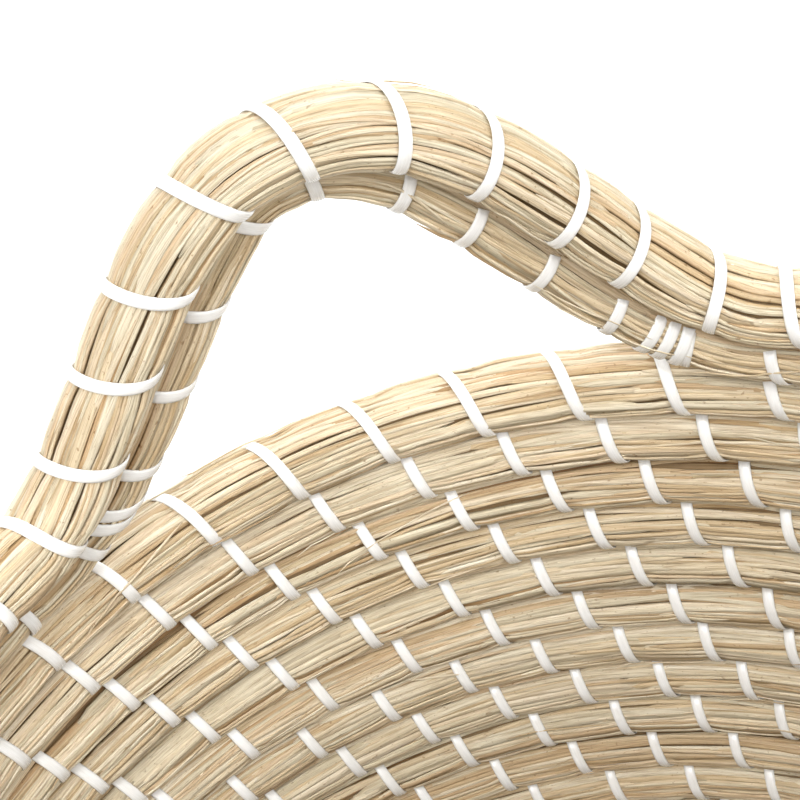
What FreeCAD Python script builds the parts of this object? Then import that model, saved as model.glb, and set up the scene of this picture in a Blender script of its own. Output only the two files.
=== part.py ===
import FreeCAD, Part
import math
import os

# Coiled laundry basket: a rush coil wound into a flat base and a belly-shaped wall,
# stitched with flat plastic strips. The top two turns lift off in two carrying handles.
# Origin: centre of the underside. +Z up, handles on +X and -X. Millimetres.

doc = FreeCAD.newDocument("coiled_laundry_basket")
sheet = doc.addObject("Spreadsheet::Sheet", "dimensions")

WALL_TURNS = 20
BASE_TURNS = 8
BELLY_TURN = 6

NUMBERS = [
    ("coil_radius", 9.5),
    ("coil_pitch", 19.0),
    ("floor_flat_depth", 0.5),
    ("lean_at_base", 42.0),
    ("lean_at_rim", 9.0),
    ("rim_turn_lean", 28.0),
    ("handle_rise", 74.0),
    ("handle_half_span_ccw", 90.0),
    ("handle_half_span_cw", 110.0),
    ("handle_tuck_angle", 14.0),
    ("strip_width", 3.5),
    ("strip_thickness", 0.5),
    ("strip_clearance", 0.04),
    ("base_strip_clearance", 0.12),
    ("strip_slant", 14.0),
    ("strip_half_wrap", 60.0),
    ("edge_strip_half_wrap", 44.0),
    ("edge_strip_centre", 114.0),
    ("rim_strip_half_wrap", 150.0),
    ("stitch_spacing", 27.0),
    ("stitch_start_angle", -2.7),
    ("stitch_turn_angle", 3.4),
    ("handle_stitch_spacing", 22.5),
    ("binding_spacing", 4.3),
    ("binding_run_cw", 93.0),
    ("binding_run_ccw", 76.0),
]


def put_cell(row, alias, value):
    """Writes one named cell and returns its alias."""
    sheet.set("A%d" % row, alias)
    sheet.set("B%d" % row, value)
    sheet.setAlias("B%d" % row, alias)
    return alias


row = 1
for alias, number in NUMBERS:
    put_cell(row, alias, str(number))
    row += 1

# Base turns lie flat, one pitch apart.
for turn in range(1, BASE_TURNS + 1):
    put_cell(row, "base_ring_%02d" % turn, "=%d * coil_pitch" % turn)
    row += 1
put_cell(row, "base_centre_height", "=coil_radius - floor_flat_depth")
row += 1

# Each wall turn sits one pitch from the turn below, in the direction of the wall's lean.
ring_below = "base_ring_%02d" % BASE_TURNS
height_below = "base_centre_height"
for turn in range(1, WALL_TURNS + 1):
    if turn <= BELLY_TURN:
        share = (1 - (turn - 1) / BELLY_TURN) ** 2
        lean = "=lean_at_base * %.6f" % share
    elif turn == WALL_TURNS:
        lean = "=-rim_turn_lean"
    else:
        share = (turn - BELLY_TURN) / (WALL_TURNS - BELLY_TURN)
        lean = "=-lean_at_rim * %.6f" % share
    lean_cell = put_cell(row, "wall_lean_%02d" % turn, lean)
    ring = "=%s + coil_pitch * sin(%s)" % (ring_below, lean_cell)
    ring_below = put_cell(row + 1, "wall_ring_%02d" % turn, ring)
    height = "=%s + coil_pitch * cos(%s)" % (height_below, lean_cell)
    height_below = put_cell(row + 2, "wall_height_%02d" % turn, height)
    row += 3
doc.recompute()


def size(alias):
    """Value of a named cell as a plain number."""
    return float(getattr(sheet, alias))


COIL = size("coil_radius")
PITCH = size("coil_pitch")
CLEAR = size("strip_clearance")


def turn_lean(turn):
    """Wall lean at a turn, averaged over the steps below and above it, in radians."""
    above = min(turn + 1, WALL_TURNS)
    mean = 0.5 * (size("wall_lean_%02d" % turn) + size("wall_lean_%02d" % above))
    return math.radians(mean)


# ---- Strips: a band bent round the coil, made once and copied to every stitch ----
def strip_template(half_wrap_deg, slant_deg, clearance, centre_deg):
    """Band on a coil lying along local Y; centre_deg is its middle, from local +X towards +Z."""
    inner = COIL + clearance
    outer = inner + size("strip_thickness")
    first = math.radians(centre_deg - half_wrap_deg)
    middle = math.radians(centre_deg)
    last = math.radians(centre_deg + half_wrap_deg)

    def at(radius, angle):
        return FreeCAD.Vector(radius * math.cos(angle), 0, radius * math.sin(angle))

    outline = Part.Wire([
        Part.Arc(at(outer, first), at(outer, middle), at(outer, last)).toShape(),
        Part.makeLine(at(outer, last), at(inner, last)),
        Part.Arc(at(inner, last), at(inner, middle), at(inner, first)).toShape(),
        Part.makeLine(at(inner, first), at(outer, first)),
    ])
    reach = 14.0
    tube = Part.Face(outline).extrude(FreeCAD.Vector(0, 2 * reach, 0))
    tube.translate(FreeCAD.Vector(0, -reach, 0))
    width = size("strip_width")
    slab = Part.makeBox(60, width, 60, FreeCAD.Vector(-30, -width / 2, -30))
    slab.rotate(FreeCAD.Vector(0, 0, 0), FreeCAD.Vector(1, 0, 0), -slant_deg)
    return tube.common(slab).Solids[0]


def placed(template, origin, x_axis, y_axis, z_axis):
    """Copy of a template with its local axes laid along the given directions."""
    matrix = FreeCAD.Matrix(
        x_axis.x, y_axis.x, z_axis.x, origin.x,
        x_axis.y, y_axis.y, z_axis.y, origin.y,
        x_axis.z, y_axis.z, z_axis.z, origin.z,
        0, 0, 0, 1)
    copy = template.copy()
    copy.Placement = FreeCAD.Placement(matrix)
    return copy


def on_ring(template, radius, height, lean, angle):
    """Copy of a template on a level ring; lean tips its local Z outwards."""
    out = FreeCAD.Vector(math.cos(angle), math.sin(angle), 0)
    along = FreeCAD.Vector(-math.sin(angle), math.cos(angle), 0)
    up = FreeCAD.Vector(0, 0, 1)
    local_x = out * math.cos(lean) - up * math.sin(lean)
    local_z = out * math.sin(lean) + up * math.cos(lean)
    origin = out * radius + up * height
    return placed(template, origin, local_x, along, local_z)


wrap = size("strip_half_wrap")
slant = size("strip_slant")
inner_strip = strip_template(wrap, slant, CLEAR, 180)
outer_strip = strip_template(wrap, -slant, CLEAR, 0)
base_gap = size("base_strip_clearance")
top_face_strip = strip_template(wrap, 0, base_gap, 90)
edge_strip = strip_template(size("edge_strip_half_wrap"), 0, base_gap, size("edge_strip_centre"))
rim_strip = strip_template(size("rim_strip_half_wrap"), 0, CLEAR, 90)

nodes = []


def add_node(label, obj):
    """Names a document object as one node of the part."""
    obj.Label = label
    nodes.append(obj)


def add_solids(label, solids):
    """One node holding several separate solids."""
    obj = doc.addObject("Part::Feature", label)
    obj.Shape = Part.makeCompound(solids)
    add_node(label, obj)


def stitch_count(radius):
    """Stitches round a turn, a multiple of four."""
    return max(4, 4 * round(2 * math.pi * radius / size("stitch_spacing") / 4))


# ---- Flat base: centre knot and rings, each trimmed level underneath ----
floor_block = doc.addObject("Part::Box", "floor_block")
floor_block.Length = 600
floor_block.Width = 600
floor_block.Height = 60
floor_block.Placement.Base = FreeCAD.Vector(-300, -300, 0)


def add_base_piece(label, blank):
    """Trims a base blank level with the floor."""
    blank.setExpression("Placement.Base.z", "dimensions.base_centre_height")
    trimmed = doc.addObject("Part::Common", label)
    trimmed.Base = blank
    trimmed.Tool = floor_block
    add_node(label, trimmed)


knot = doc.addObject("Part::Sphere", "centre_blank")
knot.setExpression("Radius", "dimensions.coil_radius")
add_base_piece("base_centre_knot", knot)
for turn in range(1, BASE_TURNS + 1):
    blank = doc.addObject("Part::Torus", "base_blank_%02d" % turn)
    blank.setExpression("Radius1", "dimensions.base_ring_%02d" % turn)
    blank.setExpression("Radius2", "dimensions.coil_radius")
    add_base_piece("base_coil_%02d" % turn, blank)

base_height = size("base_centre_height")
base_stitches = {"inner": [], "outer": []}
for turn in range(1, BASE_TURNS + 1):
    radius = size("base_ring_%02d" % turn)
    count = stitch_count(radius)
    zone = "inner" if turn <= BASE_TURNS / 2 else "outer"
    template = edge_strip if turn == BASE_TURNS else top_face_strip
    for i in range(count):
        angle = 2 * math.pi * (i + 0.5 * (turn % 2)) / count
        solid = on_ring(template, radius, base_height, 0, angle)
        base_stitches[zone].append(solid)
for zone in ("inner", "outer"):
    add_solids("base_stitches_%s" % zone, base_stitches[zone])

# ---- Wall turns below the two rim turns ----
RIM_TURN = WALL_TURNS
SECOND_TURN = WALL_TURNS - 1
for turn in range(1, SECOND_TURN):
    coil = doc.addObject("Part::Torus", "wall_coil_%02d" % turn)
    coil.setExpression("Radius1", "dimensions.wall_ring_%02d" % turn)
    coil.setExpression("Radius2", "dimensions.coil_radius")
    coil.setExpression("Placement.Base.z", "dimensions.wall_height_%02d" % turn)
    add_node("wall_coil_%02d" % turn, coil)

    radius = size("wall_ring_%02d" % turn)
    height = size("wall_height_%02d" % turn)
    lean = turn_lean(turn)
    count = stitch_count(radius)
    turns_down = SECOND_TURN - 1 - turn
    start = math.radians(size("stitch_start_angle") - size("stitch_turn_angle") * turns_down)
    solids = []
    for i in range(count):
        angle = start + 2 * math.pi * i / count
        solids.append(on_ring(inner_strip, radius, height, lean, angle))
        solids.append(on_ring(outer_strip, radius, height, lean, angle))
    add_solids("wall_stitches_%02d" % turn, solids)

# ---- Rim: two turns that lift together into a handle at each side ----
RIM_RING = size("wall_ring_%02d" % RIM_TURN)
RIM_HEIGHT = size("wall_height_%02d" % RIM_TURN)
RIM_LEAN = math.radians(size("wall_lean_%02d" % RIM_TURN))
ARCH_LEAN = math.radians(-size("lean_at_rim"))
SECOND_LEAN = turn_lean(SECOND_TURN)


def handle_offset(angle):
    """Signed run along the rim from the nearest handle's middle."""
    return RIM_RING * (math.fmod(angle + 2.5 * math.pi, math.pi) - 0.5 * math.pi)


def rise(run):
    """Height of the rim turn above its level part."""
    ccw = size("handle_half_span_ccw")
    cw = size("handle_half_span_cw")
    share = abs(run) / (ccw if run > 0 else cw)
    if share >= 1:
        return 0.0
    return size("handle_rise") * (1 - share ** 2.4) ** 2.5


def rim_frame(angle):
    """Centre, tangent, arch-inward and outward directions of the rim turn."""
    run = handle_offset(angle)
    lift = rise(run)
    step = 0.5
    slope = (rise(run + step) - rise(run - step)) / (2 * step)
    out = FreeCAD.Vector(math.cos(angle), math.sin(angle), 0)
    along = FreeCAD.Vector(-math.sin(angle), math.cos(angle), 0)
    up = FreeCAD.Vector(0, 0, 1)
    arch_up = out * math.sin(ARCH_LEAN) + up * math.cos(ARCH_LEAN)
    wall_up = out * math.sin(RIM_LEAN) + up * math.cos(RIM_LEAN)
    wall_out = out * math.cos(RIM_LEAN) - up * math.sin(RIM_LEAN)
    centre = out * RIM_RING + up * RIM_HEIGHT + arch_up * lift
    inward = (along * slope - wall_up).normalize()
    return centre, inward, wall_out, lift


def second_point(angle):
    """Centre of the second turn, one pitch from the rim turn on the inside of its arch."""
    centre, inward, wall_out, lift = rim_frame(angle)
    tuck = math.radians(size("handle_tuck_angle")) * lift / size("handle_rise")
    direction = inward * math.cos(tuck) + wall_out * math.sin(tuck)
    return centre + direction * PITCH


def swept_coil(centre_at):
    """Closed coil lofted through circles round a loop, its skin sewn from eight lengths."""
    count = 64
    curve = Part.BSplineCurve()
    points = [centre_at(2 * math.pi * i / count) for i in range(count)]
    curve.interpolate(Points=points, PeriodicFlag=True)
    step = (curve.LastParameter - curve.FirstParameter) / count
    circles = []
    for i in range(count + 1):
        parameter = curve.FirstParameter + step * (i % count)
        centre = curve.value(parameter)
        along = curve.tangent(parameter)[0]
        out = FreeCAD.Vector(centre.x, centre.y, 0).normalize()
        first = (out - along * out.dot(along)).normalize()
        circle = Part.makeCircle(COIL)
        turn = FreeCAD.Rotation(first, along.cross(first), along, "ZXY")
        circle.Placement = FreeCAD.Placement(centre, turn)
        circles.append(Part.Wire([circle]))
    skins = []
    length = count // 8
    for i in range(8):
        part = circles[i * length:(i + 1) * length + 1]
        skins += Part.makeLoft(part, False, False, False).Faces
    shell = Part.makeShell(skins)
    shell.sewShape(0.001)
    return Part.makeSolid(shell), curve


def rim_point(angle):
    """Centre of the rim turn."""
    return rim_frame(angle)[0]


rim_solid, rim_curve = swept_coil(rim_point)
second_solid, second_curve = swept_coil(second_point)
for label, solid in (("rim_coil", rim_solid), ("second_coil", second_solid)):
    obj = doc.addObject("Part::Feature", label)
    obj.Shape = solid
    add_node(label, obj)


def on_curve(template, curve, parameter, facing):
    """Copy of a template on a swept coil, its local Z towards the given direction."""
    origin = curve.value(parameter)
    along = curve.tangent(parameter)[0]
    local_z = (facing - along * facing.dot(along)).normalize()
    local_x = along.cross(local_z)
    return placed(template, origin, local_x, along, local_z)


def run_parameters(curve, spacing):
    """Curve parameters about one spacing apart along the loop."""
    count = 2 * round(curve.length() / spacing / 2)
    return [curve.parameterAtDistance(curve.length() * i / count) for i in range(count)]


def nearest_angle(point):
    """Angle whose second-turn centre is closest to the point."""
    guess = math.atan2(point.y, point.x)
    best = guess
    for i in range(-60, 61):
        angle = guess + i * 0.004
        if second_point(angle).distanceToPoint(point) < second_point(best).distanceToPoint(point):
            best = angle
    return best


# Rim stitches leave a gap where the rim turn rests on the second turn.
solids = []
for parameter in run_parameters(rim_curve, size("handle_stitch_spacing")):
    point = rim_curve.value(parameter)
    angle = math.atan2(point.y, point.x)
    away = point - second_point(angle)
    solids.append(on_curve(rim_strip, rim_curve, parameter, away))
add_solids("rim_stitches", solids)

# Second-turn stitches go right round on the handles, and front and back elsewhere.
solids = []
for parameter in run_parameters(second_curve, size("handle_stitch_spacing")):
    point = second_curve.value(parameter)
    angle = nearest_angle(point)
    rim_centre, inward, wall_out, lift = rim_frame(angle)
    if lift > 10:
        solids.append(on_curve(rim_strip, second_curve, parameter, point - rim_centre))
    elif lift < 0.4:
        ring_angle = math.atan2(point.y, point.x)
        radius = math.hypot(point.x, point.y)
        solids.append(on_ring(inner_strip, radius, point.z, SECOND_LEAN, ring_angle))
        solids.append(on_ring(outer_strip, radius, point.z, SECOND_LEAN, ring_angle))
add_solids("second_coil_stitches", solids)

# Bindings at the handle feet: three strips side by side at one foot, two at the other.
for name, middle in (("right", 0.0), ("left", math.pi)):
    solids = []
    for foot, count in ((-size("binding_run_cw"), 3), (size("binding_run_ccw"), 2)):
        angle = middle + foot / RIM_RING
        parameter = second_curve.parameter(second_point(angle))
        for i in range(count):
            run = (i - (count - 1) / 2) * size("binding_spacing")
            place = parameter + run / second_curve.getD1(parameter)[1].Length
            point = second_curve.value(place)
            away = point - rim_point(nearest_angle(point))
            solids.append(on_curve(rim_strip, second_curve, place, away))
    add_solids("handle_bindings_%s" % name, solids)

doc.recompute()
for obj in doc.Objects:
    if "Invalid" in obj.State or "Error" in obj.State:
        raise RuntimeError("bad state: " + obj.Label)
os.makedirs("parts", exist_ok=True)
for obj in nodes:
    if obj.Shape.isNull() or not obj.Shape.isValid():
        raise RuntimeError("bad shape: " + obj.Label)
    obj.Shape.exportStep("parts/%s.step" % obj.Label)
print("nodes", len(nodes))
for obj in nodes:
    print(obj.Label, len(obj.Shape.Solids), round(obj.Shape.Volume), obj.Shape.BoundBox)
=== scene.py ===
import math

import bpy
import numpy as np
from mathutils import Matrix, Vector


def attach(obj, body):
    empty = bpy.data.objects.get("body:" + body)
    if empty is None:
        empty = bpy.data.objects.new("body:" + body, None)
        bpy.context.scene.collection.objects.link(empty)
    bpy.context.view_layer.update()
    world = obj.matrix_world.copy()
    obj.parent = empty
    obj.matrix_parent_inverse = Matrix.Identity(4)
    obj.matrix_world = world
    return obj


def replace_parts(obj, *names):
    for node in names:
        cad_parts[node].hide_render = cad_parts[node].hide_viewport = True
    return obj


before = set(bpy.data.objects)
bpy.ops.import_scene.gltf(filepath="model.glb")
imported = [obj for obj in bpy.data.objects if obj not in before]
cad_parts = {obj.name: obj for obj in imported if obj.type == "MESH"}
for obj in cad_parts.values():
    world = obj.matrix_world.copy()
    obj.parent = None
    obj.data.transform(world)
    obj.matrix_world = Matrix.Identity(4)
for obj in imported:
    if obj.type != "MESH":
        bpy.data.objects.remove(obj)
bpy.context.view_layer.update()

# ---- Sizes in millimetres, as in the CAD part; meshes are written in metres ----
PITCH = 19.0
COIL = 9.5
BASE_TURNS = 8
WALL_TURNS = 20
SECOND = WALL_TURNS - 1
BASE_HEIGHT = 9.0
LEAN_AT_BASE = 42.0
LEAN_AT_RIM = 9.0
RIM_TURN_LEAN = math.radians(28.0)
BELLY_TURN = 6
ARCH_LEAN = math.radians(LEAN_AT_RIM)
HANDLE_RISE = 74.0
ARCH_SHAPE = (2.4, 2.5)
SPAN_CCW = 90.0
SPAN_CW = 110.0
TUCK = math.radians(14.0)
FOOT_SWING = math.radians(9.0)
FOOT_REACH = 34.0
RING_POINTS = 720
LOOP_POINTS = 1440
STITCH_SPACING = 27.0
RIM_SPACING = 22.5
STITCH_START = -2.7
STITCH_TURN = 3.4
STITCH_JITTER = 1.5
PINCH_REACH = 3.4
STRIP_WIDTH = 3.2
STRIP_SLANT = 0.31
RIM_SLANT = 0.25
SIDE_WRAP = 1.42
RIM_WRAP = 2.6
TOP_WRAP = 2.75
TOP_SHIFT = 2.4
BINDING_CW = 93.5
BINDING_CCW = 70.0
BINDING_GAP = 4.3
BINDING_WRAP = 2.7
BINDING_LIFT = 0.35
CORE_RADIUS = 7.7
# Stems of a coil: lanes round it, radius, width, thickness, drift, share laid, corners
STEM_LAYERS = ((24, 8.45, 3.6, 1.5, 0.07, 1.0, 4), (46, 8.9, 1.75, 0.8, 0.22, 0.95, 6))
UP = np.array([0.0, 0.0, 1.0])


def wall_rings():
    """Radius, height and lean of every wall turn, from the floor up."""
    radius = BASE_TURNS * PITCH
    height = BASE_HEIGHT
    rings = []
    for turn in range(1, WALL_TURNS + 1):
        if turn <= BELLY_TURN:
            lean = math.radians(LEAN_AT_BASE * (1 - (turn - 1) / BELLY_TURN) ** 2)
        elif turn == WALL_TURNS:
            lean = -RIM_TURN_LEAN
        else:
            share = (turn - BELLY_TURN) / (WALL_TURNS - BELLY_TURN)
            lean = -math.radians(LEAN_AT_RIM * share)
        radius += PITCH * math.sin(lean)
        height += PITCH * math.cos(lean)
        rings.append((radius, height, lean))
    return rings


RINGS = wall_rings()
RIM_RING, RIM_HEIGHT, _ = RINGS[-1]


def unit(v):
    return v / np.linalg.norm(v, axis=-1, keepdims=True)


def around(angle):
    """Outward and counter-clockwise directions at an angle round the basket."""
    zero = np.zeros_like(angle)
    out = np.stack([np.cos(angle), np.sin(angle), zero], -1)
    along = np.stack([-np.sin(angle), np.cos(angle), zero], -1)
    return out, along


def rise(run):
    """Height of the rim turn above its level part; run is measured from a handle's middle."""
    share = np.abs(run) / np.where(run > 0, SPAN_CCW, SPAN_CW)
    flat, sharp = ARCH_SHAPE
    return HANDLE_RISE * np.clip(1 - share ** flat, 0, 1) ** sharp


def rim_centre(angle):
    """Centre of the rim turn, the direction to the turn under it, and the outward direction."""
    run = RIM_RING * (np.mod(angle + 0.5 * np.pi, np.pi) - 0.5 * np.pi)
    lift = rise(run)[..., None]
    slope = (rise(run + 0.5) - rise(run - 0.5))[..., None]
    out, along = around(angle)
    arch_up = -out * math.sin(ARCH_LEAN) + UP * math.cos(ARCH_LEAN)
    wall_up = -out * math.sin(RIM_TURN_LEAN) + UP * math.cos(RIM_TURN_LEAN)
    wall_out = out * math.cos(RIM_TURN_LEAN) + UP * math.sin(RIM_TURN_LEAN)
    centre = out * RIM_RING + UP * RIM_HEIGHT + arch_up * lift
    tuck = TUCK * lift / HANDLE_RISE
    down = unit(along * slope - wall_up) * np.cos(tuck) + wall_out * np.sin(tuck)
    return centre, down, wall_out


class Path:
    """Centre line of one coil, with the directions its stems are laid out from."""

    def __init__(self, centre, facing, wrap_middle=None):
        """centre: points round a closed loop; facing: local up direction at each of them;
        wrap_middle: side that long strips are centred on, None where strips lie on both sides."""
        self.wrap_middle = wrap_middle
        self.centre = centre
        ahead = np.roll(centre, -1, 0)
        steps = np.linalg.norm(ahead - centre, axis=1)
        self.length = steps.sum()
        self.start = np.concatenate([[0], np.cumsum(steps)[:-1]])
        self.along = unit(ahead - np.roll(centre, 1, 0))
        self.up = unit(facing - self.along * (facing * self.along).sum(-1, keepdims=True))
        self.out = np.cross(self.along, self.up)

    def at(self, s):
        """Centre, along, outward and up directions at a run along the coil."""
        s = np.mod(s, self.length)
        values = []
        for table in (self.centre, self.along, self.out, self.up):
            columns = [np.interp(s, self.start, table[:, i], period=self.length) for i in range(3)]
            values.append(np.stack(columns, -1))
        return values


def ring_path(radius, height, lean):
    """A level turn; lean tips its top outward from the vertical."""
    angle = np.arange(RING_POINTS) * 2 * np.pi / RING_POINTS
    out, _ = around(angle)
    up = out * math.sin(lean) + UP * math.cos(lean)
    return Path(out * radius + UP * height, up)


def rim_path():
    """The top turn, with its handle arches."""
    angle = np.arange(LOOP_POINTS) * 2 * np.pi / LOOP_POINTS
    centre, down, _ = rim_centre(angle)
    return Path(centre, -down, math.pi / 2)


def second_path():
    """The turn under the rim turn, which swings inward at each clockwise handle foot."""
    angle = np.arange(LOOP_POINTS) * 2 * np.pi / LOOP_POINTS
    centre, down, wall_out = rim_centre(angle)
    run = RIM_RING * (np.mod(angle + 0.5 * np.pi, np.pi) - 0.5 * np.pi)
    swing = FOOT_SWING * np.exp(-((run + SPAN_CW) / FOOT_REACH) ** 2)[:, None]
    beside = unit(down * np.cos(swing) - wall_out * np.sin(swing))
    return Path(centre + beside * PITCH, -down, -math.pi / 2)


# ---- Meshes built from many small tubes ----
class Bundle:
    """Collects tubes and bands, then writes them out as one mesh."""

    def __init__(self):
        self.points, self.quads, self.fibre, self.look = [], [], [], []
        self.total = 0

    def add(self, grid, fibre, look):
        """grid: rows of closed rings of points; fibre and look: three numbers for each point, look
        holding tone, painted shade and stitch press.
        """
        rows, sides = grid.shape[:2]
        index = np.arange(rows * sides).reshape(rows, sides) + self.total
        turned = np.roll(index, -1, 1)
        walls = np.stack([index[:-1], turned[:-1], turned[1:], index[1:]], -1).reshape(-1, 4)
        caps = []
        for i in range(1, sides // 2):
            near, far = sides - 1 - i, i
            caps.append([index[0, near + 1 if i > 1 else 0], index[0, near], index[0, far],
                         index[0, far - 1]])
            caps.append([index[-1, far - 1], index[-1, far], index[-1, near],
                         index[-1, near + 1 if i > 1 else 0]])
        self.points.append(grid.reshape(-1, 3))
        self.quads += [walls, np.array(caps)]
        self.fibre.append(fibre.reshape(-1, 3))
        self.look.append(look.reshape(-1, 3))
        self.total += rows * sides

    def mesh(self, name, material, floor=None):
        points = np.concatenate(self.points) * 0.001
        if floor is not None:
            points[:, 2] = np.maximum(points[:, 2], floor * 0.001)
        quads = np.concatenate([q for q in self.quads if len(q)])
        me = bpy.data.meshes.new(name)
        me.vertices.add(len(points))
        me.vertices.foreach_set("co", points.astype(np.float32).ravel())
        me.loops.add(quads.size)
        me.loops.foreach_set("vertex_index", quads.astype(np.int32).ravel())
        me.polygons.add(len(quads))
        me.polygons.foreach_set("loop_start", np.arange(0, quads.size, 4, dtype=np.int32))
        me.polygons.foreach_set("use_smooth", np.ones(len(quads), bool))
        for label, parts in (("fibre", self.fibre), ("look", self.look)):
            layer = me.attributes.new(label, "FLOAT_VECTOR", "POINT")
            layer.data.foreach_set("vector", np.concatenate(parts).astype(np.float32).ravel())
        me.update(calc_edges=True)
        me.validate()
        me.materials.append(material)
        obj = bpy.data.objects.new(name, me)
        bpy.context.scene.collection.objects.link(obj)
        return obj


# ---- Rush stems ----
def pinch(path, s, alpha, stitches):
    """How hard the nearest stitch presses a point of the coil: 1 under it, 0 away from it."""
    if path.wrap_middle is None:
        shift = np.where(np.cos(alpha) < 0, 1.0, -1.0) * STRIP_SLANT * COIL * np.sin(alpha)
    else:
        shift = -RIM_SLANT * COIL * (np.mod(alpha - path.wrap_middle + np.pi, 2 * np.pi) - np.pi)
    at = np.mod(s - shift, path.length)
    order = np.searchsorted(stitches, at)
    after = stitches[order % len(stitches)]
    before = stitches[order - 1]
    gap = np.minimum(np.abs(at - before), np.abs(after - at))
    return np.exp(-(gap / PINCH_REACH) ** 2)


def lay_stem(bundle, path, rng, stitches, run, corners=6):
    """One stem: run holds start, length, angle, radius, width, thickness, drift, step and end
    lift; corners counts the corners of its section."""
    start, length, angle, radius, width, thick, drift, step, lift = run
    count = max(4, int(length / step))
    s = start + np.linspace(0, length, count)
    t = np.linspace(0, 1, count)
    wave = rng.uniform(0, 2 * np.pi, 3)
    sway = 0.5 * np.sin(s / 47 + wave[0]) + 0.35 * np.sin(s / 21 + wave[1])
    alpha = angle + drift * (sway + rng.uniform(-1, 1) * (t - 0.5))
    near = pinch(path, s, alpha, stitches)
    swell = 0.14 * np.sin(3 * alpha + s / 33) + 0.07 * np.sin(s / 9 + wave[2])
    depth = radius + swell + 0.2 - 0.7 * near
    depth = depth + lift * np.clip((t - 0.8) * 5, 0, 1) ** 2
    centre, _, out, up = path.at(s)
    normal = out * np.cos(alpha)[:, None] + up * np.sin(alpha)[:, None]
    side = up * np.cos(alpha)[:, None] - out * np.sin(alpha)[:, None]
    roll = rng.normal(0, 0.18) + 0.1 * np.sin(s / 25 + wave[1])
    end = np.clip(np.minimum(t, 1 - t) * length / 5, 0.25, 1)
    wide = 0.5 * width * end * (1 + 0.12 * np.sin(s / 13 + wave[0]))
    high = 0.5 * thick * end * (1 - 0.25 * near)
    sides = (np.arange(corners) + 0.5) * 2 * np.pi / corners
    across = wide[:, None] * np.cos(sides)
    above = high[:, None] * np.sin(sides)
    turn_x = across * np.cos(roll)[:, None] - above * np.sin(roll)[:, None]
    turn_y = across * np.sin(roll)[:, None] + above * np.cos(roll)[:, None]
    grid = (centre + normal * depth[:, None])[:, None, :]
    grid = grid + side[:, None, :] * turn_x[..., None] + normal[:, None, :] * turn_y[..., None]
    tone = rng.random()
    fibre = np.empty(grid.shape)
    fibre[..., 0] = (np.cos(sides) * 0.5 * width)[None, :] + tone * 900
    fibre[..., 1] = s[:, None]
    fibre[..., 2] = tone * 37
    look = np.empty(grid.shape)
    look[..., 0] = tone
    # Painted shade: look Y falls for stems that lie deeper in the coil, so the shade ramp of the
    # rush material darkens them.
    look[..., 1] = np.clip((depth + 0.6 * near - 8.1) / 1.4, 0, 1)[:, None]
    look[..., 2] = near[:, None]
    bundle.add(grid, fibre, look)


def lay_core(bundle, path):
    """Filling under the stems, painted dark as the shade inside the coil."""
    count = int(path.length / 9)
    s = np.linspace(0, path.length, count + 1)
    centre, _, out, up = path.at(s)
    turn = np.arange(12) * np.pi / 6
    spoke = (out[:, None, :] * np.cos(turn)[None, :, None]
             + up[:, None, :] * np.sin(turn)[None, :, None])
    grid = centre[:, None, :] + CORE_RADIUS * spoke
    fibre = np.empty(grid.shape)
    fibre[..., 0] = turn * 8
    fibre[..., 1] = s[:, None]
    fibre[..., 2] = 5
    # Painted shade: look Y stays 0, the darkest end of the shade ramp.
    look = np.zeros(grid.shape)
    look[..., 0] = 0.5
    bundle.add(grid, fibre, look)


def coil(name, path, stitches, seed, step, material, hidden=(), strays=6, floor=None):
    """A turn of the coil as stems round a core painted dark as shade; hidden: sides where stems
    are left out.
    """
    rng = np.random.default_rng(seed)
    bundle = Bundle()
    lay_core(bundle, path)
    for lanes, radius, width, thick, drift, fill, corners in STEM_LAYERS:
        for lane in range(lanes):
            angle = 2 * np.pi * (lane + rng.uniform(-0.3, 0.3)) / lanes
            if any(abs(math.remainder(angle - h, 2 * np.pi)) < 0.2 for h in hidden):
                continue
            at = rng.uniform(0, path.length)
            end = at + path.length
            while at < end - 8:
                length = min(rng.uniform(70, 330), end - at)
                if rng.random() < fill:
                    size = width * rng.uniform(0.5, 1.2)
                    level = radius + rng.normal(0, 0.16)
                    lay_stem(bundle, path, rng, stitches, (
                        at, length + 6, angle + rng.normal(0, 0.05), level, size,
                        thick * rng.uniform(0.8, 1.15), drift, step, rng.exponential(0.15)),
                        corners)
                at += length
    for _ in range(strays):
        angle = rng.uniform(0, 2 * np.pi)
        if any(abs(math.remainder(angle - h, 2 * np.pi)) < 0.5 for h in hidden):
            continue
        lay_stem(bundle, path, rng, stitches, (
            rng.uniform(0, path.length), rng.uniform(14, 45), angle, 10.0, rng.uniform(0.4, 0.9),
            0.4, 0.5, min(step, 4), rng.uniform(0.5, 2.2)))
    obj = bundle.mesh(name, material, floor)
    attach(obj, "root")
    return obj


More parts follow.
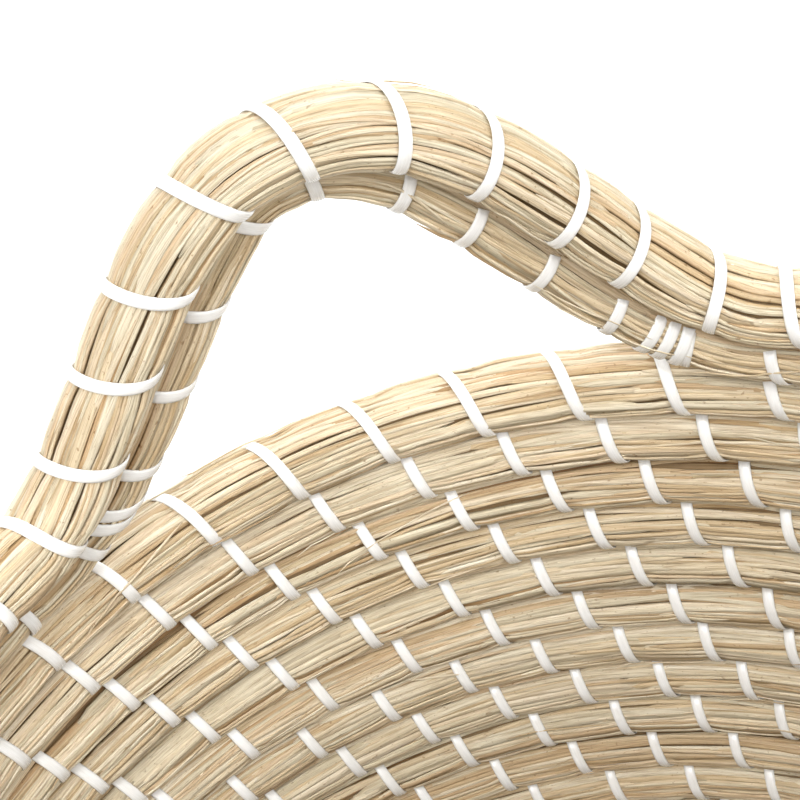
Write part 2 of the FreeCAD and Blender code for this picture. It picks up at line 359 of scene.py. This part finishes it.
# ---- Plastic strips ----
def lay_strip(bundle, path, s, centre_angle, half_wrap, slant, radius=COIL, lift=0.0):
    """A flat strip bent round the coil at run s. A short one leans over as an S, and a long one
    goes round as a helix."""
    rows = 15 if half_wrap < 2 else 27
    alpha = centre_angle + np.linspace(-half_wrap, half_wrap, rows)
    turned = alpha - centre_angle
    along = s + slant * COIL * (np.sin(turned) if half_wrap < 2 else turned)
    centre, ahead, out, up = path.at(along)
    normal = out * np.cos(alpha)[:, None] + up * np.sin(alpha)[:, None]
    side = up * np.cos(alpha)[:, None] - out * np.sin(alpha)[:, None]
    lean = slant * (np.cos(turned) if half_wrap < 2 else np.ones(rows))
    across = unit(ahead - side * lean[:, None])
    end = np.linspace(-1, 1, rows)
    depth = radius + lift - 0.6 * np.abs(end) ** 8
    section = ((-0.5, -0.12), (-0.46, 0.16), (-0.25, 0.34),
               (0.25, 0.34), (0.46, 0.16), (0.5, -0.12))
    grid = np.empty((rows, len(section), 3))
    for i, (x, y) in enumerate(section):
        grid[:, i] = centre + normal * (depth + y)[:, None] + across * (x * STRIP_WIDTH)
    if np.dot(np.cross(across[0], normal[0]), side[0]) > 0:
        grid = grid[:, ::-1]
    fibre = np.empty(grid.shape)
    fibre[..., 0] = np.array([p[0] for p in section]) * STRIP_WIDTH
    fibre[..., 1] = (COIL * alpha)[:, None]
    fibre[..., 2] = s
    look = np.zeros(grid.shape)
    look[..., 0] = math.fmod(abs(s) * 0.618, 1.0)
    bundle.add(grid, fibre, look)


def strips(name, bundle, material, floor=None):
    """Writes a bundle of strips out as one piece."""
    obj = bundle.mesh(name, material, floor)
    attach(obj, "root")
    return obj


# ---- Materials ----
def new_material(name):
    material = bpy.data.materials.new(name)
    material.use_nodes = True
    nodes = material.node_tree.nodes
    return material, nodes, material.node_tree.links, nodes["Principled BSDF"]


def attribute(nodes, name):
    node = nodes.new("ShaderNodeAttribute")
    node.attribute_name = name
    return node


def ramp(nodes, stops):
    node = nodes.new("ShaderNodeValToRGB")
    while len(node.color_ramp.elements) < len(stops):
        node.color_ramp.elements.new(0.5)
    for element, (at, colour) in zip(node.color_ramp.elements, stops):
        element.position = at
        element.color = (*colour, 1)
    return node


def noise(nodes, links, vector, scale, stretch, detail=3.0):
    """Noise on the fibre coordinates, drawn out along the stem."""
    mapping = nodes.new("ShaderNodeMapping")
    mapping.inputs["Scale"].default_value = stretch
    links.new(vector, mapping.inputs["Vector"])
    node = nodes.new("ShaderNodeTexNoise")
    node.inputs["Scale"].default_value = scale
    node.inputs["Detail"].default_value = detail
    links.new(mapping.outputs["Vector"], node.inputs["Vector"])
    return node.outputs["Fac"]


def mix(nodes, links, mode, factor, a, b):
    """Mixes two colours; factor, a and b are sockets or plain values."""
    node = nodes.new("ShaderNodeMix")
    node.data_type = "RGBA"
    node.blend_type = mode
    for socket, value in ((node.inputs[0], factor), (node.inputs[6], a), (node.inputs[7], b)):
        if isinstance(value, (float, tuple)):
            socket.default_value = value
        else:
            links.new(value, socket)
    return node.outputs[2]


def rush_material():
    material, nodes, links, shader = new_material("dried_rush")
    fibre = attribute(nodes, "fibre").outputs["Vector"]
    look = nodes.new("ShaderNodeSeparateXYZ")
    links.new(attribute(nodes, "look").outputs["Vector"], look.inputs["Vector"])
    tone = ramp(nodes, [
        (0.0, (0.56, 0.41, 0.24)), (0.14, (0.72, 0.58, 0.38)), (0.33, (0.82, 0.72, 0.54)),
        (0.52, (0.72, 0.65, 0.49)), (0.70, (0.86, 0.78, 0.62)), (0.85, (0.68, 0.51, 0.32)),
        (1.0, (0.83, 0.73, 0.56))])
    tone.color_ramp.interpolation = "EASE"
    links.new(look.outputs["X"], tone.inputs["Fac"])
    patch = noise(nodes, links, fibre, 1.0, (0.5, 0.035, 1.0))
    patches = ramp(nodes, [(0.3, (0.78, 0.72, 0.62)), (0.62, (1.0, 1.0, 1.0))])
    links.new(patch, patches.inputs["Fac"])
    colour = mix(nodes, links, "MULTIPLY", 0.8, tone.outputs["Color"], patches.outputs["Color"])
    streak = noise(nodes, links, fibre, 1.0, (5.0, 0.09, 1.0), 4.0)
    streaks = ramp(nodes, [(0.38, (0.52, 0.42, 0.30)), (0.54, (1.0, 1.0, 1.0))])
    links.new(streak, streaks.inputs["Fac"])
    colour = mix(nodes, links, "MULTIPLY", 0.55, colour, streaks.outputs["Color"])
    speck = noise(nodes, links, fibre, 1.0, (1.2, 0.6, 1.0), 2.0)
    specks = ramp(nodes, [(0.24, (0.42, 0.28, 0.15)), (0.34, (1.0, 1.0, 1.0))])
    links.new(speck, specks.inputs["Fac"])
    colour = mix(nodes, links, "MULTIPLY", 0.7, colour, specks.outputs["Color"])
    # Painted shade: darkens stems that lie deep in the coil, and the core under them, towards dark
    # brown.
    shade = ramp(nodes, [
        (0.0, (0.42, 0.31, 0.20)), (0.2, (0.80, 0.70, 0.56)), (0.42, (1.0, 1.0, 1.0))])
    links.new(look.outputs["Y"], shade.inputs["Fac"])
    colour = mix(nodes, links, "MULTIPLY", 1.0, colour, shade.outputs["Color"])
    links.new(colour, shader.inputs["Base Color"])
    shine = ramp(nodes, [(0.3, (0.42, 0.42, 0.42)), (0.7, (0.62, 0.62, 0.62))])
    links.new(streak, shine.inputs["Fac"])
    links.new(shine.outputs["Color"], shader.inputs["Roughness"])
    shader.inputs["Specular IOR Level"].default_value = 0.4
    bump = nodes.new("ShaderNodeBump")
    bump.inputs["Strength"].default_value = 0.8
    bump.inputs["Distance"].default_value = 0.0004
    links.new(streak, bump.inputs["Height"])
    links.new(bump.outputs["Normal"], shader.inputs["Normal"])
    return material


def strip_material():
    material, nodes, links, shader = new_material("white_strip")
    fibre = attribute(nodes, "fibre").outputs["Vector"]
    cloud = noise(nodes, links, fibre, 1.0, (0.4, 0.12, 0.03))
    tint = ramp(nodes, [(0.3, (0.80, 0.79, 0.76)), (0.7, (0.90, 0.90, 0.89))])
    links.new(cloud, tint.inputs["Fac"])
    links.new(tint.outputs["Color"], shader.inputs["Base Color"])
    scuff = noise(nodes, links, fibre, 1.0, (6.0, 0.2, 0.1), 4.0)
    shine = ramp(nodes, [(0.35, (0.20, 0.20, 0.20)), (0.75, (0.36, 0.36, 0.36))])
    links.new(scuff, shine.inputs["Fac"])
    links.new(shine.outputs["Color"], shader.inputs["Roughness"])
    bump = nodes.new("ShaderNodeBump")
    bump.inputs["Strength"].default_value = 0.15
    bump.inputs["Distance"].default_value = 0.0002
    links.new(scuff, bump.inputs["Height"])
    links.new(bump.outputs["Normal"], shader.inputs["Normal"])
    shader.inputs["Subsurface Weight"].default_value = 0.15
    shader.inputs["Subsurface Radius"].default_value = (0.0015, 0.0015, 0.0014)
    return material


RUSH = rush_material()
STRIP = strip_material()


# ---- The basket ----
def stitch_count(radius):
    return max(4, 4 * round(2 * math.pi * radius / STITCH_SPACING / 4))


def even_stitches(path, count, start, jitter=0.0, seed=0):
    """Runs along a coil of evenly spaced stitches, each moved a little by hand."""
    moved = jitter * np.random.default_rng(seed).uniform(-1, 1, count)
    return np.sort(np.mod(path.length * (np.arange(count) / count + start) + moved, path.length))


# Sides of a wall turn that press on the turns above and below
WALL_HIDDEN = (math.pi / 2, -math.pi / 2)


def build_base():
    """The flat turns, cut off level at the floor."""
    inner, outer = Bundle(), Bundle()
    for turn in range(1, BASE_TURNS + 1):
        radius = PITCH * turn
        path = ring_path(radius, BASE_HEIGHT, 0)
        count = stitch_count(radius)
        runs = even_stitches(path, count, 0.5 * (turn % 2) / count)
        obj = coil("rush_base_%02d" % turn, path, runs, 100 + turn, 6.0, RUSH,
                   hidden=(0, math.pi), strays=2, floor=0.4)
        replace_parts(obj, "base_coil_%02d" % turn)
        bundle = inner if turn <= BASE_TURNS / 2 else outer
        top = (math.radians(114), 0.9) if turn == BASE_TURNS else (math.pi / 2, 1.25)
        for s in runs:
            lay_strip(bundle, path, s, top[0], top[1], 0.12)
            lay_strip(bundle, path, s, -math.pi / 2, 1.15, 0.12, radius=9.0)
    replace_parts(strips("strips_base_inner", inner, STRIP, floor=0.0), "base_stitches_inner")
    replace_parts(strips("strips_base_outer", outer, STRIP, floor=0.0), "base_stitches_outer")
    build_knot()


def build_knot():
    """The start of the coil: stems curled into the middle of the base."""
    rng = np.random.default_rng(7)
    path = ring_path(4.4, BASE_HEIGHT, 0)
    bundle = Bundle()
    runs = np.array([0.0])
    for lane in range(34):
        angle = 2 * np.pi * lane / 34
        # Painted shade: at this small radius look Y is 0, so the shade ramp darkens these stems
        # fully.
        lay_stem(bundle, path, rng, runs, (
            rng.uniform(0, 20), path.length * 1.1, angle, rng.uniform(3.4, 4.1),
            rng.uniform(1.2, 2.0), 1.1, 0.4, 1.2, 0.0))
    obj = bundle.mesh("rush_knot", RUSH, 0.4)
    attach(obj, "root")
    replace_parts(obj, "base_centre_knot")


def build_wall():
    """The wall turns with their stitches; those of the top one run over it in the hand holes."""
    for turn in range(1, SECOND):
        radius, height, lean = RINGS[turn - 1]
        lean = 0.5 * (lean + RINGS[turn][2])
        path = ring_path(radius, height, lean)
        count = stitch_count(radius)
        start = math.radians(STITCH_START - STITCH_TURN * (SECOND - 1 - turn)) / (2 * math.pi)
        runs = even_stitches(path, count, start)
        near = turn >= 9
        hidden = WALL_HIDDEN[1:] if turn == SECOND - 1 else WALL_HIDDEN
        obj = coil("rush_wall_%02d" % turn, path, runs, 200 + turn, 4.5 if near else 7.0, RUSH,
                   hidden=hidden, strays=24 if near else 5)
        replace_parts(obj, "wall_coil_%02d" % turn)
        bundle = Bundle()
        for s in runs:
            if turn == SECOND - 1:
                lay_strip(bundle, path, s + TOP_SHIFT, math.pi / 2, TOP_WRAP, -STRIP_SLANT)
                continue
            lay_strip(bundle, path, s, math.pi, SIDE_WRAP, -STRIP_SLANT)
            lay_strip(bundle, path, s, 0.0, SIDE_WRAP, -STRIP_SLANT)
        obj = strips("strips_wall_%02d" % turn, bundle, STRIP)
        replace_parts(obj, "wall_stitches_%02d" % turn)


def build_rim():
    """The two top turns, their stitches and the bindings at the handle feet."""
    rim = rim_path()
    count = 2 * round(rim.length / RIM_SPACING / 2)
    runs = even_stitches(rim, count, 0.0, STITCH_JITTER, 31)
    obj = coil("rush_rim", rim, runs, 301, 3.6, RUSH, hidden=(-math.pi / 2,), strays=24)
    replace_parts(obj, "rim_coil")
    bundle = Bundle()
    for s in runs:
        lay_strip(bundle, rim, s, math.pi / 2, RIM_WRAP, -RIM_SLANT)
    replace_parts(strips("strips_rim", bundle, STRIP), "rim_stitches")

    second = second_path()
    count = 2 * round(second.length / RIM_SPACING / 2)
    runs = even_stitches(second, count, 0.5 / count, STITCH_JITTER, 32)
    obj = coil("rush_second", second, runs, 302, 3.6, RUSH, hidden=(math.pi / 2,), strays=30)
    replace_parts(obj, "second_coil")
    bundle = Bundle()
    for s in runs:
        lay_strip(bundle, second, s, -math.pi / 2, RIM_WRAP, -RIM_SLANT)
    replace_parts(strips("strips_second", bundle, STRIP), "second_coil_stitches")

    for name, middle in (("right", 0.0), ("left", math.pi)):
        bundle = Bundle()
        for run, count, slant in ((-BINDING_CW, 3, -0.1), (BINDING_CCW, 2, -0.5)):
            angle = middle + run / RIM_RING
            share = angle / (2 * math.pi) % 1
            foot = second.start[round(share * LOOP_POINTS) % LOOP_POINTS]
            for i in range(count):
                s = foot + (i - (count - 1) / 2) * BINDING_GAP
                lay_strip(bundle, second, s, -math.pi / 2, BINDING_WRAP, slant,
                          lift=BINDING_LIFT)
        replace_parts(strips("strips_binding_" + name, bundle, STRIP), "handle_bindings_" + name)


build_base()
build_wall()
build_rim()

# ---- Floor, light and camera ----
bpy.ops.mesh.primitive_plane_add(size=12)
floor = bpy.context.object
floor.name = "floor"
floor_material, _, _, floor_shader = new_material("floor")
floor_shader.inputs["Base Color"].default_value = (0.92, 0.92, 0.92, 1)
floor_shader.inputs["Roughness"].default_value = 0.9
floor.data.materials.append(floor_material)
floor.location.z = -0.0005

world = bpy.data.worlds.new("studio")
world.use_nodes = True
world.node_tree.nodes["Background"].inputs["Color"].default_value = (0.97, 0.985, 1.0, 1)
world.node_tree.nodes["Background"].inputs["Strength"].default_value = 1.0
bpy.context.scene.world = world
bpy.context.scene.view_settings.view_transform = "Standard"


def area_light(name, place, target, size, power, spread=180):
    light = bpy.data.lights.new(name, "AREA")
    light.size = size
    light.energy = power
    light.spread = math.radians(spread)
    obj = bpy.data.objects.new(name, light)
    obj.location = place
    obj.visible_camera = False
    obj.rotation_euler = (Vector(target) - Vector(place)).to_track_quat("-Z", "Y").to_euler()
    bpy.context.scene.collection.objects.link(obj)


area_light("key", (-1.15, -0.95, 1.25), (0.1, 0.1, 0.28), 0.8, 11)
area_light("inside", (-0.4, 0.2, 1.0), (0.11, -0.06, 0.1), 0.35, 0.7, 50)
area_light("sweep", (2.2, -0.4, 1.6), (1.1, -0.2, 0.0), 2.0, 60)

VIEW_LENS = 86.3
VIEW_PLACE = Vector((-0.1902, 0.0662, 0.6769))
VIEW_AZIMUTH = math.radians(103.14)
VIEW_DOWN = math.radians(41.73)
VIEW_ROLL = math.radians(-12.19)
camera_data = bpy.data.cameras.new("camera")
camera_data.sensor_width = 36
camera_data.lens = VIEW_LENS
camera_data.clip_start = 0.02
camera = bpy.data.objects.new("camera", camera_data)
bpy.context.scene.collection.objects.link(camera)
bpy.context.scene.camera = camera
look_at = Vector((math.sin(VIEW_AZIMUTH) * math.cos(VIEW_DOWN),
                  math.cos(VIEW_AZIMUTH) * math.cos(VIEW_DOWN), -math.sin(VIEW_DOWN)))
level = look_at.cross(Vector((0, 0, 1))).normalized()
upright = level.cross(look_at)
right = level * math.cos(VIEW_ROLL) + upright * math.sin(VIEW_ROLL)
top = upright * math.cos(VIEW_ROLL) - level * math.sin(VIEW_ROLL)
turn = Matrix((right, top, -look_at)).transposed().to_4x4()
camera.matrix_world = Matrix.Translation(VIEW_PLACE) @ turn
